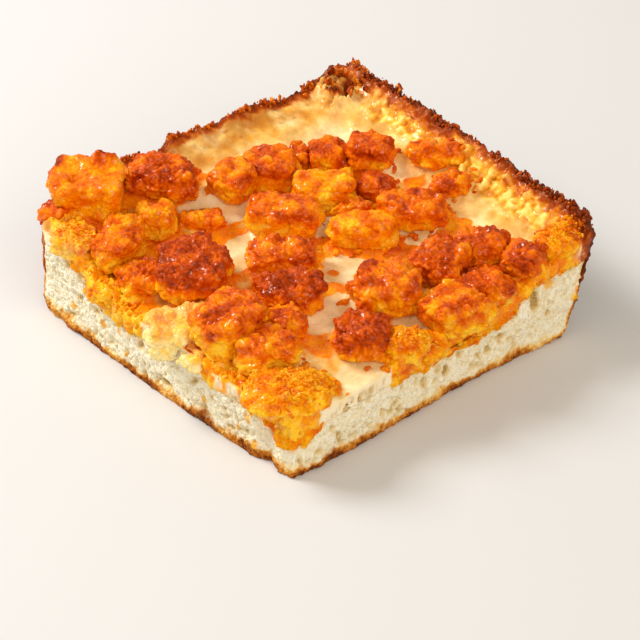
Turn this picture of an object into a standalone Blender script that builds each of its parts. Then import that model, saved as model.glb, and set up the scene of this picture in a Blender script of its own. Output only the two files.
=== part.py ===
"""Corner slice of thick pan pizza with buffalo chicken.

Two sides are cut and meet at the front corner (+X, -Y). The other two baked against the pan's
leaning walls and meet at its rounded corner (-X, +Y). The bread and the melted cheese are one
solid each, and every piece of chicken is a solid of its own. Lengths are in millimetres.
"""

import math
import random

import bmesh
import bpy
from mathutils import Matrix, Vector, noise
from mathutils.bvhtree import BVHTree

MM = 0.001
GAP = 0.3              # between pieces that touch

# Outline at the base, about the middle of the slice
BASE_X = 114.0         # from the pan wall at -X to the cut face at +X
BASE_Y = 108.0         # from the cut face at -Y to the pan wall at +Y, along the right cut
SKEW = 4.7             # how much longer the slice is along its other pan wall
CORNER_R = 10.0        # the pan's rounded corner
LEAN_X = 2.8           # how far the pan wall at -X stands out at the rim
LEAN_Y = 12.0          # the same for the pan wall at +Y
LEAN_POWER = 0.8
RIM_Z = 31.0           # height at which the lean is measured
EDGE_R = 1.2           # rounding where the walls meet the base
BOW = 2.6              # how far the left cut face bulges between its ends
NICK = 3.0             # depth of the nick beside the front corner
NICK_X = 48.0
NICK_WIDTH = 2.4
RIGHT_SWING = 1.0      # how far the right cut face wanders, and how gently
RIGHT_SWING_RUN = 15.0
LEAN_RUN = 28.0        # the pan wall at -X leans less within this distance of the left cut

# Bread
DOUGH_Z = 16.5         # thickness in the open middle
DOUGH_CLIMB = 8.5      # how much thicker it bakes near the pan walls
CLIMB_FROM, CLIMB_TO = 20.0, 36.0
MEETS_Z = 25.0         # about where its top edge meets the crisp cheese on the walls
CORNER_SAG = 2.5       # how much thinner it is at the front corner, and how far that reaches
CORNER_REACH = 16.0
DOUGH_SWELL = 1.3      # how uneven its top is, and how long the bumps are
DOUGH_SWELL_LENGTH = 24.0
FULL_Z = 6.5           # height from which its walls follow the pan, and how far in they are below
FULL_INSET = 0.25
STEP_FOOT = 1.6        # the step for the cheese skirt: how far under the skirt it starts and ends
STEP_TOP = 0.4
CELL = 5.3             # about the width of the faces that bread and cheese are made of

# Cheese
CHEESE_Z = 20.5        # height of its top at the cut edges
CHEESE_DOME = 3.2      # how much higher its middle stands
DOME_FROM, DOME_TO = -2.0, 34.0
CHEESE_CLIMB = 6.0     # how much it climbs towards the pan walls
CHEESE_CLIMB_FROM = 6.0
CHEESE_SWELL = 1.1     # how uneven it is, and how long the bumps are
CHEESE_SWELL_LENGTH = 13.0
CHEESE_LEAST = 2.4     # thinnest cover over the bread
RIM_LEFT = 27.5        # height of the crisp rim where the left cut ends it
RIM_RISE = 7.5         # how much taller it stands away from that cut
RIM_DIP = 5.5          # how much it sags before the pan's corner
RIM_DIP_Y = 49.0
RIM_DIP_REACH = 12.0
RIM_RISE_RUN = 16.0    # distance from the left cut over which it rises
RIM_BACK = 37.5        # its height along the other wall
RIM_FALL = 4.0         # how much lower the right cut leaves it
RIM_FALL_RUN = 9.0
RIM_OVER = 1.0         # least height over the cheese beside it
RIM_CRAG = 3.4         # how much its teeth vary
RIM_TEETH = ((0.6, 5.0, 3), (0.5, 11.0, 4))  # share, length and pattern of fine and wide teeth
TEETH_LEAST = 0.4      # share of the teeth that is left at a cut, and how soon all of it is there
TEETH_RUN = 30.0
CREST_SHARES = (0.85, 1.0, 0.7, 0.35, 0.1)  # height of the rim over its first rows of faces
SKIRT_Z = 13.0         # foot of the crisp cheese down the pan walls
SKIRT_WAVE = 0.4       # how uneven its foot is, and how long the waves are
SKIRT_WAVE_LENGTH = 9.0
SKIRT = 1.2            # its thickness
TIERS = 3              # rows of faces from the foot of the cheese to its top
NEAR_TOP = (0.0, 1.8, 4.2)  # distance of its first columns from the wall, at the crest
NEAR_FOOT = (0.0, SKIRT, SKIRT + 1.0)

# Chicken: name, place (x, y), size (length, breadth, height), turn in degrees, how far it is
# raised above the cheese, and how boxy its form is (2 is an egg, 4 nearly a block)
CHICKEN = (
    ("corner_cube", (-55.7, -35.2), (19.0, 15.0, 11.0), 40, -5.0, 7.0),
    ("corner_scrap", (-57.5, -45.5), (9.5, 7.0, 6.5), 20, -3.5, 3.1),
    ("left_crumbly", (-43.0, -49.5), (15.0, 12.5, 8.5), 12, -2.4, 2.9),
    ("left_long", (-33.5, -40.5), (29.0, 11.5, 10.0), 116, 0.0, 3.5),
    ("left_rugged", (-35.5, -25.5), (12.0, 10.0, 9.5), 60, 0.0, 3.3),
    ("back_left_red", (-47.0, -13.0), (22.5, 15.5, 10.5), 44, 0.0, 3.1),
    ("left_low", (-20.5, -42.0), (17.0, 14.0, 9.0), 40, -1.0, 2.9),
    ("left_big", (-8.5, -33.0), (25.5, 21.0, 13.0), 132, 0.0, 3.1),
    ("front_left_pale", (5.0, -49.7), (16.5, 13.5, 9.0), 60, -2.4, 5.5),
    ("front_round", (19.5, -42.0), (22.0, 20.5, 16.5), 100, 0.0, 3.0),
    ("front_inner", (32.0, -40.0), (18.5, 17.0, 10.5), 50, 0.0, 3.1),
    ("front_small", (27.5, -28.5), (12.0, 11.5, 9.0), 80, 0.0, 3.1),
    ("corner_drape", (47.5, -45.5), (24.5, 21.0, 8.5), 48, -2.4, 2.9),
    ("back_left_block", (-36.0, 5.5), (15.0, 12.0, 10.0), 110, 0.0, 3.7),
    ("back_block", (-34.0, 18.5), (15.5, 14.0, 10.0), 40, 0.0, 3.5),
    ("back_chip", (-34.0, 31.0), (8.5, 8.5, 6.5), 10, 0.0, 3.1),
    ("back_wide_left", (-29.5, 36.0), (14.5, 11.0, 9.5), 55, 0.0, 3.3),
    ("back_wide_right", (-19.5, 46.0), (14.0, 10.0, 9.0), 36, 0.0, 3.3),
    ("back_yellow", (-15.0, 25.0), (21.5, 12.5, 10.0), 52, 0.0, 3.7),
    ("back_red", (-8.0, 38.0), (11.0, 11.0, 7.5), 30, 0.0, 3.1),
    ("middle_left", (-13.5, 6.0), (22.0, 12.5, 10.5), 48, 0.0, 3.5),
    ("middle_slip", (-30.0, -12.5), (11.5, 7.0, 5.5), 52, 0.0, 3.1),
    ("middle_chip", (-6.0, 26.0), (14.0, 7.0, 6.0), 62, 0.0, 3.3),
    ("middle_long", (7.0, 20.0), (24.0, 11.0, 9.5), 47, 0.0, 3.3),
    ("middle_far", (9.5, 36.5), (27.5, 11.5, 9.5), 50, 0.0, 3.5),
    ("middle_low", (2.5, -7.5), (25.0, 13.0, 9.5), 46, 0.0, 3.1),
    ("middle_front", (17.5, -18.5), (20.5, 14.0, 11.0), 56, 0.0, 3.3),
    ("right_block", (35.0, 3.5), (19.0, 17.0, 12.5), 66, 0.0, 3.5),
    ("right_front", (45.5, -14.5), (17.5, 15.5, 11.0), 40, 0.0, 3.1),
    ("right_edge_small", (53.0, -6.5), (14.0, 12.0, 9.5), 60, -1.0, 3.1),
    ("right_edge_long", (52.5, 14.5), (26.5, 16.0, 12.5), 74, -1.5, 3.1),
    ("right_edge_mid", (49.5, 27.5), (20.5, 13.0, 10.0), 60, 0.0, 3.3),
    ("right_red", (51.5, 43.0), (12.0, 11.5, 9.0), 20, 0.0, 3.1),
    ("right_end", (52.5, 54.5), (15.0, 10.0, 6.5), 70, 0.0, 3.1),
    ("right_back_big", (36.0, 24.5), (18.5, 15.5, 12.5), 30, 0.0, 3.5),
    ("right_back_small", (38.5, 38.5), (16.0, 12.5, 11.0), 60, 0.0, 3.3),
    ("rim_orange", (-3.0, 57.5), (20.5, 9.0, 7.5), 40, 0.0, 3.1),
    ("right_edge_drape", (54.5, 2.5), (21.0, 8.5, 8.0), 86, -4.5, 2.6),
    ("left_edge_drape", (-26.0, -52.0), (15.0, 8.0, 8.0), 6, -3.5, 2.6),
    ("front_left_chip", (15.5, -53.0), (10.5, 7.0, 6.0), 10, -2.5, 2.6),
    ("rim_streaked", (10.0, 52.0), (12.0, 8.5, 6.5), 60, 0.0, 3.1),
)
CHICKEN_CUTS = 3       # rows of faces on a piece's side, less one
SMALL_CUTS = 2         # the same on a piece shorter than SMALL
SMALL = 15.2
CHICKEN_ROUGH = 0.2    # share of its radius by which a piece's surface is uneven
CRAGS = ((1.7, 1.0), (4.1, 0.6))  # how close and how strong its wide and its fine crags are
SUNK = 0.9             # how deep a piece sits in the cheese
CLEAR = 0.15           # how much more than the gap its foot keeps from the cheese's skin
NEAR_SHARE = 0.62      # pieces whose middles are nearer than this share of both lengths meet
CUT_CLEAR = 0.1        # how much more than the gap is cut from a piece that hangs over an edge
ABOVE = 200.0          # height above the table from which the cheese's top is looked for
DRAPED = ("corner_cube", "corner_scrap", "left_crumbly", "left_edge_drape", "front_left_pale",
          "front_left_chip", "corner_drape", "right_edge_small", "right_edge_drape",
          "right_edge_long", "right_end", "right_red", "rim_orange")
SEED = 11

SHARP_ANGLE = 50       # edges are rounded in shading below this many degrees
BREAD_COLOUR = (0.80, 0.70, 0.50)
CHEESE_COLOUR = (0.86, 0.62, 0.28)
SAUCE_COLOUR = (0.80, 0.30, 0.04)
BREAD_ROUGHNESS = 0.85
CHEESE_ROUGHNESS = 0.45
SAUCE_ROUGHNESS = 0.5

LEFT = -BASE_X / 2
RIGHT = BASE_X / 2
FRONT = -BASE_Y / 2
BACK = BASE_Y / 2
ROWS_X = round(BASE_X / CELL)
ROWS_Y = round((BASE_Y + LEAN_Y) / CELL)

# The middle of the finished slice's box, from the base's middle
BOX_MID = (-1.46, 5.68)


def smooth_step(value, low, high):
    """Runs from 0 at low to 1 at high without a corner."""
    t = min(max((value - low) / (high - low), 0.0), 1.0)
    return t * t * (3.0 - 2.0 * t)


def lumps(x, y, z, wave, seed):
    """Soft unevenness between about -1 and 1, with bumps this long."""
    return noise.noise(Vector((x / wave + 7.3 * seed, y / wave - 3.1 * seed, z / wave + seed)))


def wall_out(z, lean):
    """How far a pan wall stands out at this height."""
    return lean * (max(z, 0.0) / RIM_Z) ** LEAN_POWER


def front_cut(x):
    """The left cut face: bowed, pulled in at its ends, with a nick near the front corner."""
    along = (x - LEFT) / BASE_X
    bow = BOW * math.sin(math.pi * min(max(along, 0.0), 1.0)) ** 0.4
    nick = NICK * math.exp(-(((x - NICK_X) / NICK_WIDTH) ** 2))
    return FRONT + BOW - bow + nick


def right_cut(y):
    """The right cut face, nearly straight."""
    return RIGHT + RIGHT_SWING * math.sin((y - FRONT) / RIGHT_SWING_RUN)


def spot(in_x, in_y, z):
    """The point this far in from both pan walls at height z."""
    y = BACK + wall_out(z, LEAN_Y) - in_y
    lean = LEAN_X * smooth_step(y, FRONT, FRONT + LEAN_RUN)
    x = LEFT - wall_out(z, lean) + in_x
    y += SKEW * (RIGHT - x) / BASE_X * (1.0 - in_y / (BASE_Y + LEAN_Y))
    away_x = CORNER_R - in_x
    away_y = CORNER_R - in_y
    if away_x > 0.0 and away_y > 0.0:
        round_off = max(away_x, away_y) / math.hypot(away_x, away_y)
        x += away_x * (1.0 - round_off)
        y -= away_y * (1.0 - round_off)
    return x, y


def wall_distance(x, y):
    """How far a point of the top is from the nearer pan wall."""
    return min(x - LEFT + LEAN_X, BACK + LEAN_Y + SKEW * (RIGHT - x) / BASE_X - y)


def dough_top(x, y):
    """Top of the bread: thicker by the pan walls, thinner at the front corner."""
    climb = 1.0 - smooth_step(wall_distance(x, y), CLIMB_FROM, CLIMB_TO)
    corner = math.exp(-(math.hypot(x - RIGHT, y - FRONT) / CORNER_REACH) ** 2)
    uneven = DOUGH_SWELL * lumps(x, y, 0.0, DOUGH_SWELL_LENGTH, 1)
    return DOUGH_Z + DOUGH_CLIMB * climb - CORNER_SAG * corner + uneven


def cheese_top(x, y):
    """Top of the melted cheese, without the crisp rim."""
    climb = 1.0 - smooth_step(wall_distance(x, y), CHEESE_CLIMB_FROM, CLIMB_TO)
    inward = min(RIGHT - x, y - FRONT)
    dome = smooth_step(inward, DOME_FROM, DOME_TO)
    level = CHEESE_Z + CHEESE_DOME * dome + CHEESE_CLIMB * climb
    level += CHEESE_SWELL * lumps(x, y, 0.0, CHEESE_SWELL_LENGTH, 2)
    return max(level, dough_top(x, y) + CHEESE_LEAST)


def rim_top(x, y):
    """Top of the crisp rim: low at the left cut, tall and toothed round the pan's corner."""
    if x - LEFT < BACK + SKEW - y:
        cut = y - FRONT
        dip = math.exp(-(((y - RIM_DIP_Y) / RIM_DIP_REACH) ** 2))
        level = RIM_LEFT + RIM_RISE * smooth_step(cut, 0.0, RIM_RISE_RUN) - RIM_DIP * dip
    else:
        cut = RIGHT - x
        level = RIM_BACK - RIM_FALL * (1.0 - smooth_step(cut, 0.0, RIM_FALL_RUN))
    teeth = sum(share * lumps(x, y, 0.0, length, seed) for share, length, seed in RIM_TEETH)
    return level + RIM_CRAG * teeth * (TEETH_LEAST + smooth_step(cut, 0.0, TEETH_RUN))


def box_grid(cells_x, cells_y, cells_z):
    """A cube cut into rows of faces along each axis, its corners at 0 and at the counts."""
    bm = bmesh.new()
    bmesh.ops.create_cube(bm, size=1.0)
    for axis, cells in enumerate((cells_x, cells_y, cells_z)):
        along = [e for e in bm.edges if abs(e.verts[0].co[axis] - e.verts[1].co[axis]) > 1e-4]
        if cells > 1:
            bmesh.ops.subdivide_edges(bm, edges=along, cuts=cells - 1, use_grid_fill=True)
    for v in bm.verts:
        v.co = Vector(((v.co.x + 0.5) * cells_x, (v.co.y + 0.5) * cells_y, (v.co.z + 0.5) * cells_z))
    return bm


def bread_row(row, rows, length):
    """Distance from the pan wall of one row of the bread's top: the cheese above it shares them."""
    first = SKIRT + GAP
    return first + (length - first) * row / rows


def column(in_x, in_y, z, at_right, at_front):
    """Place in plan of one column of faces, moved onto the cut faces at the last rows."""
    x, y = spot(in_x, in_y, z)
    if at_right:
        x = right_cut(y)
    if at_front:
        y = front_cut(x)
    return x, y


def make_dough(mesh):
    """The bread: flat base, leaning walls with a step for the cheese skirt, uneven top."""
    levels = (0.0, EDGE_R, FULL_Z, SKIRT_Z - STEP_FOOT, SKIRT_Z - STEP_TOP, MEETS_Z)
    insets = (EDGE_R, FULL_INSET, 0.0, 0.0, SKIRT + GAP, SKIRT + GAP)
    last = len(levels) - 1
    bm = box_grid(ROWS_X, ROWS_Y, last)
    for v in bm.verts:
        a = round(v.co.x)
        b = ROWS_Y - round(v.co.y)
        level = round(v.co.z)
        z = levels[level]
        in_x = bread_row(a, ROWS_X, BASE_X + wall_out(z, LEAN_X)) if a else insets[level]
        in_y = bread_row(b, ROWS_Y, BASE_Y + wall_out(z, LEAN_Y)) if b else insets[level]
        x, y = column(in_x, in_y, z, a == ROWS_X, b == ROWS_Y)
        if level == last:
            z = dough_top(x, y)
        v.co = Vector((x, y, z))
    finish_mesh(bm, mesh)


def make_cheese(mesh):
    """The melted cheese: a layer through the slice, its crisp rim and its skirt on the walls."""
    rows_x = ROWS_X + 2
    rows_y = ROWS_Y + 2
    bm = box_grid(rows_x, rows_y, TIERS)
    for v in bm.verts:
        a = round(v.co.x)
        b = rows_y - round(v.co.y)
        tier = round(v.co.z)
        ring = min(a, b)
        x, y = cheese_column(a, b, NEAR_TOP, RIM_Z)
        high = cheese_top(x, y)
        crest = CREST_SHARES[ring] if ring < len(CREST_SHARES) else 0.0
        high += (max(rim_top(x, y), high + RIM_OVER) - high) * crest
        z = high
        if tier < TIERS:
            if ring < 2:
                low = SKIRT_Z + SKIRT_WAVE * lumps(x, y, 0.0, SKIRT_WAVE_LENGTH, 5)
            else:
                x, y = cheese_column(a, b, (0.0, 0.5 * SKIRT, SKIRT), MEETS_Z)
                low = dough_top(x, y) + GAP
            share = tier / TIERS
            z = low + (high - low) * share
            if ring < 2:
                near = [foot + (top - foot) * share for foot, top in zip(NEAR_FOOT, NEAR_TOP)]
                x, y = cheese_column(a, b, near, z)
        v.co = Vector((x, y, z))
    finish_mesh(bm, mesh)


def cheese_column(a, b, near, z):
    """Place in plan of one column of the cheese, a and b rows in from the pan walls.

    The first rows are the rim and the skirt, and from the fourth on they are the bread's rows.
    """
    in_x = near[a] if a < 3 else bread_row(a - 2, ROWS_X, BASE_X + wall_out(z, LEAN_X))
    in_y = near[b] if b < 3 else bread_row(b - 2, ROWS_Y, BASE_Y + wall_out(z, LEAN_Y))
    return column(in_x, in_y, z, a == ROWS_X + 2, b == ROWS_Y + 2)


def finish_mesh(bm, mesh):
    """Triangulates, turns the faces outwards and stores the mesh in metres."""
    bmesh.ops.triangulate(bm, faces=bm.faces[:], quad_method="SHORT_EDGE")
    bmesh.ops.recalc_face_normals(bm, faces=bm.faces[:])
    bmesh.ops.scale(bm, vec=(MM, MM, MM), verts=bm.verts[:])
    bm.to_mesh(mesh)
    bm.free()
    mesh.shade_smooth()
    mesh.set_sharp_from_angle(angle=math.radians(SHARP_ANGLE))


def egg_reach(direction, half, boxy):
    """Distance from the middle to the skin of a block with rounded corners, along a direction."""
    total = sum(abs(direction[n] / half[n]) ** boxy for n in range(3))
    return total ** (-1.0 / boxy)


def surface_height(tree, x, y):
    """Height of the cheese's top at a point, or None beside it."""
    hit = tree.ray_cast(Vector((x, y, ABOVE)) * MM, Vector((0.0, 0.0, -1.0)))
    return None if hit[0] is None else hit[0].z / MM


def chicken_places(tree):
    """Middle of each piece, raised so that it sits a little way into the cheese."""
    places = []
    for _, (x, y), size, _, raised, _ in CHICKEN:
        under = surface_height(tree, x, y)
        if under is None:
            under = cheese_top(x, y)
        z = under + raised + 0.5 * size[2] - SUNK
        places.append(Vector((x, y, z)))
    return places


def shared_faces(index, places):
    """Flat faces where a piece meets its neighbours, as points and directions away from it."""
    middle = places[index]
    own = min(CHICKEN[index][2][:2]) / 2
    found = []
    for other, place in enumerate(places):
        away = place - middle
        reach = (max(CHICKEN[index][2]) + max(CHICKEN[other][2])) * NEAR_SHARE
        if other == index or away.length > reach:
            continue
        theirs = min(CHICKEN[other][2][:2]) / 2
        share = own / (own + theirs)
        found.append((away.length * share - 0.5 * GAP, away.normalized()))
    return found


def make_chicken(mesh, index, places, tree, rng):
    """One piece of chicken: a rounded block, craggy, flat against its neighbours and the cheese."""
    name, _, size, turn, _, boxy = CHICKEN[index]
    cuts = CHICKEN_CUTS if size[0] > SMALL else SMALL_CUTS
    bm = bmesh.new()
    bmesh.ops.create_cube(bm, size=2.0)
    bmesh.ops.subdivide_edges(bm, edges=bm.edges[:], cuts=cuts, use_grid_fill=True)
    spin = Matrix.Rotation(math.radians(turn), 3, "Z")
    half = [0.5 * length for length in size]
    middle = places[index]
    shift = Vector([rng.uniform(0.0, 50.0) for _ in range(3)])
    faces = shared_faces(index, places)
    for v in bm.verts:
        direction = v.co.normalized()
        reach = egg_reach(direction, half, boxy)
        uneven = sum(strong * noise.noise(direction * close + shift) for close, strong in CRAGS)
        reach *= 1.0 + CHICKEN_ROUGH * uneven
        direction.rotate(spin)
        for distance, away in faces:
            towards = direction.dot(away)
            if towards > 1e-3:
                reach = min(reach, distance / towards)
        v.co = middle + direction * reach
    if name not in DRAPED:
        for v in bm.verts:
            floor = surface_height(tree, v.co.x, v.co.y)
            if floor is not None:
                v.co.z = max(v.co.z, floor + GAP + CLEAR)
    finish_mesh(bm, mesh)


def material(name, colour, roughness):
    """A plain finish for the solids."""
    made = bpy.data.materials.new(name)
    made.use_nodes = True
    made.diffuse_color = (*colour, 1.0)
    shader = made.node_tree.nodes["Principled BSDF"]
    shader.inputs["Base Color"].default_value = (*colour, 1.0)
    shader.inputs["Roughness"].default_value = roughness
    shader.inputs["Metallic"].default_value = 0.0
    return made


def add_object(name, finish, group, parent):
    """An empty mesh object in the slice, ready to be filled."""
    mesh = bpy.data.meshes.new(name)
    mesh.materials.append(finish)
    made = bpy.data.objects.new(name, mesh)
    made.parent = parent
    group.objects.link(made)
    return made


def grown_cutter(source, group, grow):
    """A copy of a solid, swollen a little along its normals, that cuts what drapes over it."""
    bm = bmesh.new()
    bm.from_mesh(source.data)
    bm.normal_update()
    for v in bm.verts:
        v.co += v.normal * grow * MM
    mesh = bpy.data.meshes.new("cutter_" + source.name)
    bm.to_mesh(mesh)
    bm.free()
    made = bpy.data.objects.new("cutter_" + source.name, mesh)
    made.parent = source.parent
    made.hide_render = True
    made.display_type = "WIRE"
    group.objects.link(made)
    return made


def cut_away(piece, cutters):
    """Takes the swollen bread and cheese out of a piece that hangs over their edge."""
    for cutter in cutters:
        cut = piece.modifiers.new("clear_of_" + cutter.name, "BOOLEAN")
        cut.operation = "DIFFERENCE"
        cut.solver = "EXACT"
        cut.object = cutter


def clear_scene():
    """Removes what the new file came with."""
    for old in list(bpy.data.objects):
        bpy.data.objects.remove(old, do_unlink=True)


def build():
    clear_scene()
    scene = bpy.context.scene
    group = bpy.data.collections.new("pan_pizza_slice")
    cutter_group = bpy.data.collections.new("cutters")
    scene.collection.children.link(group)
    scene.collection.children.link(cutter_group)

    middle = bpy.data.objects.new("slice_middle", None)
    middle.location = (-BOX_MID[0] * MM, -BOX_MID[1] * MM, 0.0)
    group.objects.link(middle)

    bread = material("bread_crumb", BREAD_COLOUR, BREAD_ROUGHNESS)
    melted = material("melted_cheese", CHEESE_COLOUR, CHEESE_ROUGHNESS)
    sauced = material("sauced_chicken", SAUCE_COLOUR, SAUCE_ROUGHNESS)

    dough = add_object("dough", bread, group, middle)
    make_dough(dough.data)
    cheese = add_object("cheese", melted, group, middle)
    make_cheese(cheese.data)

    bm = bmesh.new()
    bm.from_mesh(cheese.data)
    tree = BVHTree.FromBMesh(bm)
    bm.free()

    cutters = [grown_cutter(solid, cutter_group, GAP + CUT_CLEAR) for solid in (cheese, dough)]
    places = chicken_places(tree)
    rng = random.Random(SEED)
    for index, row in enumerate(CHICKEN):
        piece = add_object("chicken_" + row[0], sauced, group, middle)
        make_chicken(piece.data, index, places, tree, rng)
        if row[0] in DRAPED:
            cut_away(piece, cutters)


build()
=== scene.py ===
"""Corner slice of thick pan pizza with buffalo chicken, dressed for its picture.

Two sides are cut, towards +X and -Y. The other two baked against the pan. Lengths inside the
sections are in millimetres and are turned to metres when a mesh is stored.
"""

import math
import random

import bpy
import numpy as np
from mathutils import Matrix, Vector, noise
from mathutils.bvhtree import BVHTree


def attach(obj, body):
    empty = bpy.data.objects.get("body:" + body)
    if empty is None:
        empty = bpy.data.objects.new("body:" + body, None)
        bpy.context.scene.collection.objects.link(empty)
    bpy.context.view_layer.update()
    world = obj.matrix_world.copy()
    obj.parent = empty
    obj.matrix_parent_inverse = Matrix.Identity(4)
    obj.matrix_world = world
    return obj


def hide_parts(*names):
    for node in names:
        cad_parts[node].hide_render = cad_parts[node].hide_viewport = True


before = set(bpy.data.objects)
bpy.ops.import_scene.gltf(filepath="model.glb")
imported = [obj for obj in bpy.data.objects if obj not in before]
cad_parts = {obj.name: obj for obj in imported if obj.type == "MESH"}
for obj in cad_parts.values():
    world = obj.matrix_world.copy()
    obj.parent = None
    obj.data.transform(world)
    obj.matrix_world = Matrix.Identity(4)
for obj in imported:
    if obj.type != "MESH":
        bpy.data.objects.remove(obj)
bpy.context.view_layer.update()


# Bread
# The thick baked dough: an airy, pale crumb on the two cut faces, and a thin fried crust under it
# and up the pan's walls. It was cut with a blade, which left torn pores and a ragged lower edge.
MM = 0.001
BREAD_GRAIN = 0.40     # width of the small faces that the loaf is rebuilt with
BREAD_ROUNDING = 14    # how many times the solid's facets are smoothed
BREAD_KEPT = 0.36      # share of its faces that stays, merged where they can't be seen
LEFT_WALL = -55.54     # the pan's walls at the base
BACK_WALL = 48.32
RIGHT_CUT = 58.46      # the cut faces to the right and to the left
LEFT_CUT = -59.7
WALL_SKEW = 4.7        # how much further the back wall is at the left end
LEFT_LEAN = 2.8        # how far each wall leans out by LEAN_AT, and how that grows
BACK_LEAN = 12.0
LEAN_AT = 31.0
LEAN_POWER = 0.8
CORNER_ROUND = 10.0
UNDER_CRUST = 1.8      # thickness of the browned layer underneath
CRUST_LEAST = 0.6      # and the least that it has
SKIN = 1.1             # thickness of the skin where the cut ends at a wall
TOP_LIFT = 1.2         # how far the loaf's top is raised into the cheese, so that no gap shows
TUCKED = 0.6           # how far the crumb shrinks back right under the cheese
WIDE_PORE = 3.0        # spacing of the torn crumb's wide bubbles
SMALL_PORE = 1.35      # spacing of its small ones
TIGHT_DEPTH = 0.25     # their depth where the crumb is tight, and how much more where it is open
OPEN_MORE = 0.5
CLUMP = 3.2            # width of the breading's clumps and of its crumbs, here and on the chicken
CRUMB = 1.25
# Unevenness in layers: how high each is, how wide its bumps are, and the number of its pattern
TORN_FACE = ((0.7, 8.0, 10), (0.35, 3.0, 11), (0.2, 1.2, 21), (0.12, 0.8, 22))
CRUST_EDGE = ((0.8, 2.2, 7), (1.1, 8.0, 8))
CRUST_LIP = ((0.35, 1.9, 12), (0.4, 0.9, 13))
HANGING_EDGE = ((1.9, 3.2, 16), (1.1, 1.3, 17))
SOAKED_EDGE = ((2.0, 2.4, 19), (0.8, 1.1, 20))
OIL_SPOTS = (          # where sauce dripped on the cut faces: side, along, height, width
    ("left", -24.0, 10.6, 1.9), ("left", -17.0, 11.5, 1.3), ("left", -38.5, 9.6, 1.6),
    ("left", -13.0, 6.0, 1.2), ("left", 22.0, 8.5, 1.5), ("left", 36.5, 7.2, 1.4),
    ("left", 43.5, 4.5, 1.5), ("left", 49.5, 12.0, 2.2), ("left", 41.0, 12.5, 1.9),
    ("right", -60.0, 10.5, 2.0), ("right", -58.5, 6.0, 1.5), ("right", 42.0, 22.0, 2.4),
    ("right", -56.0, 12.5, 1.8),
)
BIG_PORES = (          # the largest bubbles: side, along, height, length, breadth, depth
    ("left", 4.8, 5.2, 3.4, 1.7, 2.2), ("left", -6.5, 12.6, 2.6, 1.9, 1.2),
    ("left", -27.0, 13.6, 2.4, 2.2, 1.0), ("left", -40.0, 5.4, 2.6, 2.0, 1.2),
    ("left", 33.0, 4.8, 2.0, 1.4, 1.2), ("left", 25.0, 10.4, 1.9, 1.3, 1.0),
    ("right", 37.0, 17.5, 2.2, 5.0, 1.8), ("right", -48.0, 5.6, 2.4, 1.5, 1.1),
    ("right", -20.0, 6.2, 1.8, 1.6, 1.1), ("right", 3.0, 8.4, 1.6, 2.6, 1.0),
    ("right", 24.0, 10.0, 1.5, 2.8, 0.9),
)


def joined_copy(node, name):
    """A copy of a solid from the frame with its loose triangles joined into one skin."""
    bpy.ops.object.select_all(action="DESELECT")
    made = bpy.data.objects.new(name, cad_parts[node].data.copy())
    made.data.name = name
    made.data.materials.clear()
    bpy.context.scene.collection.objects.link(made)
    made.select_set(True)
    bpy.context.view_layer.objects.active = made
    bpy.ops.object.mode_set(mode="EDIT")
    bpy.ops.mesh.select_all(action="SELECT")
    bpy.ops.mesh.remove_doubles(threshold=0.00001)
    bpy.ops.object.mode_set(mode="OBJECT")
    return made


def rebuild(piece, grain, rounding):
    """Gives a skin even small faces and smooths away the solid's facets."""
    even = piece.modifiers.new("even_faces", "REMESH")
    even.mode = "VOXEL"
    even.voxel_size = grain * MM
    even.use_smooth_shade = True
    bpy.ops.object.modifier_apply(modifier=even.name)
    soft = piece.modifiers.new("round_off", "SMOOTH")
    soft.factor = 0.5
    soft.iterations = rounding
    bpy.ops.object.modifier_apply(modifier=soft.name)


def thin_out(piece, hidden, keep):
    """Merges faces where they can't be seen, down to this share of them all."""
    group = piece.vertex_groups.new(name="hidden")
    group.add(np.nonzero(hidden)[0].tolist(), 1.0, "REPLACE")
    fewer = piece.modifiers.new("fewer_faces", "DECIMATE")
    fewer.decimate_type = "COLLAPSE"
    fewer.ratio = keep
    fewer.vertex_group = group.name
    bpy.ops.object.modifier_apply(modifier=fewer.name)
    piece.vertex_groups.clear()


def skin_points(piece):
    """Places and outward directions of a skin's points, in millimetres."""
    count = len(piece.data.vertices)
    places = np.empty(count * 3, np.float32)
    piece.data.vertices.foreach_get("co", places)
    facing = np.empty(count * 3, np.float32)
    piece.data.vertex_normals.foreach_get("vector", facing)
    return places.reshape(-1, 3).astype(float) / MM, facing.reshape(-1, 3).astype(float)


def move_skin(piece, places):
    """Stores new places, given in millimetres."""
    piece.data.vertices.foreach_set("co", (places * MM).astype(np.float32).ravel())
    piece.data.update()


def tell(piece, name, values):
    """Stores one number for each point, which the finish reads by this name."""
    mark = piece.data.attributes.new(name, "FLOAT", "POINT")
    mark.data.foreach_set("value", np.asarray(values, np.float32))


def swell(places, size, seed, stretch=(1.0, 1.0, 1.0)):
    """Soft unevenness between about -1 and 1 with bumps of this size."""
    at = places / (np.array(stretch) * size) + (31.7 * seed, -17.3 * seed, 11.9 * seed)
    return np.array([noise.noise(p) for p in at.tolist()])


def bumps(places, layers):
    """Unevenness in layers. Each is a height, the width of its bumps and a pattern's number."""
    return sum(height * swell(places, width, seed) for height, width, seed in layers)


def drift(places, size, seeds):
    """Three soft patterns at each point, which bend another pattern out of line."""
    return np.stack([swell(places, size, seed) for seed in seeds], 1)


def beads(places, size, seed, stretch=(1.0, 1.0, 1.0)):
    """Distance from the middle of the nearest of many packed grains, about 0 to 1."""
    at = places / (np.array(stretch) * size) + (13.1 * seed, 27.7 * seed, -19.3 * seed)
    found = [noise.noise(p, noise_basis="VORONOI_F1") for p in at.tolist()]
    return (np.array(found) + 1.0) / 2.0


def ramp(values, low, high):
    """Runs from 0 at low to 1 at high without a corner."""
    t = np.clip((values - low) / (high - low), 0.0, 1.0)
    return t * t * (3.0 - 2.0 * t)


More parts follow.
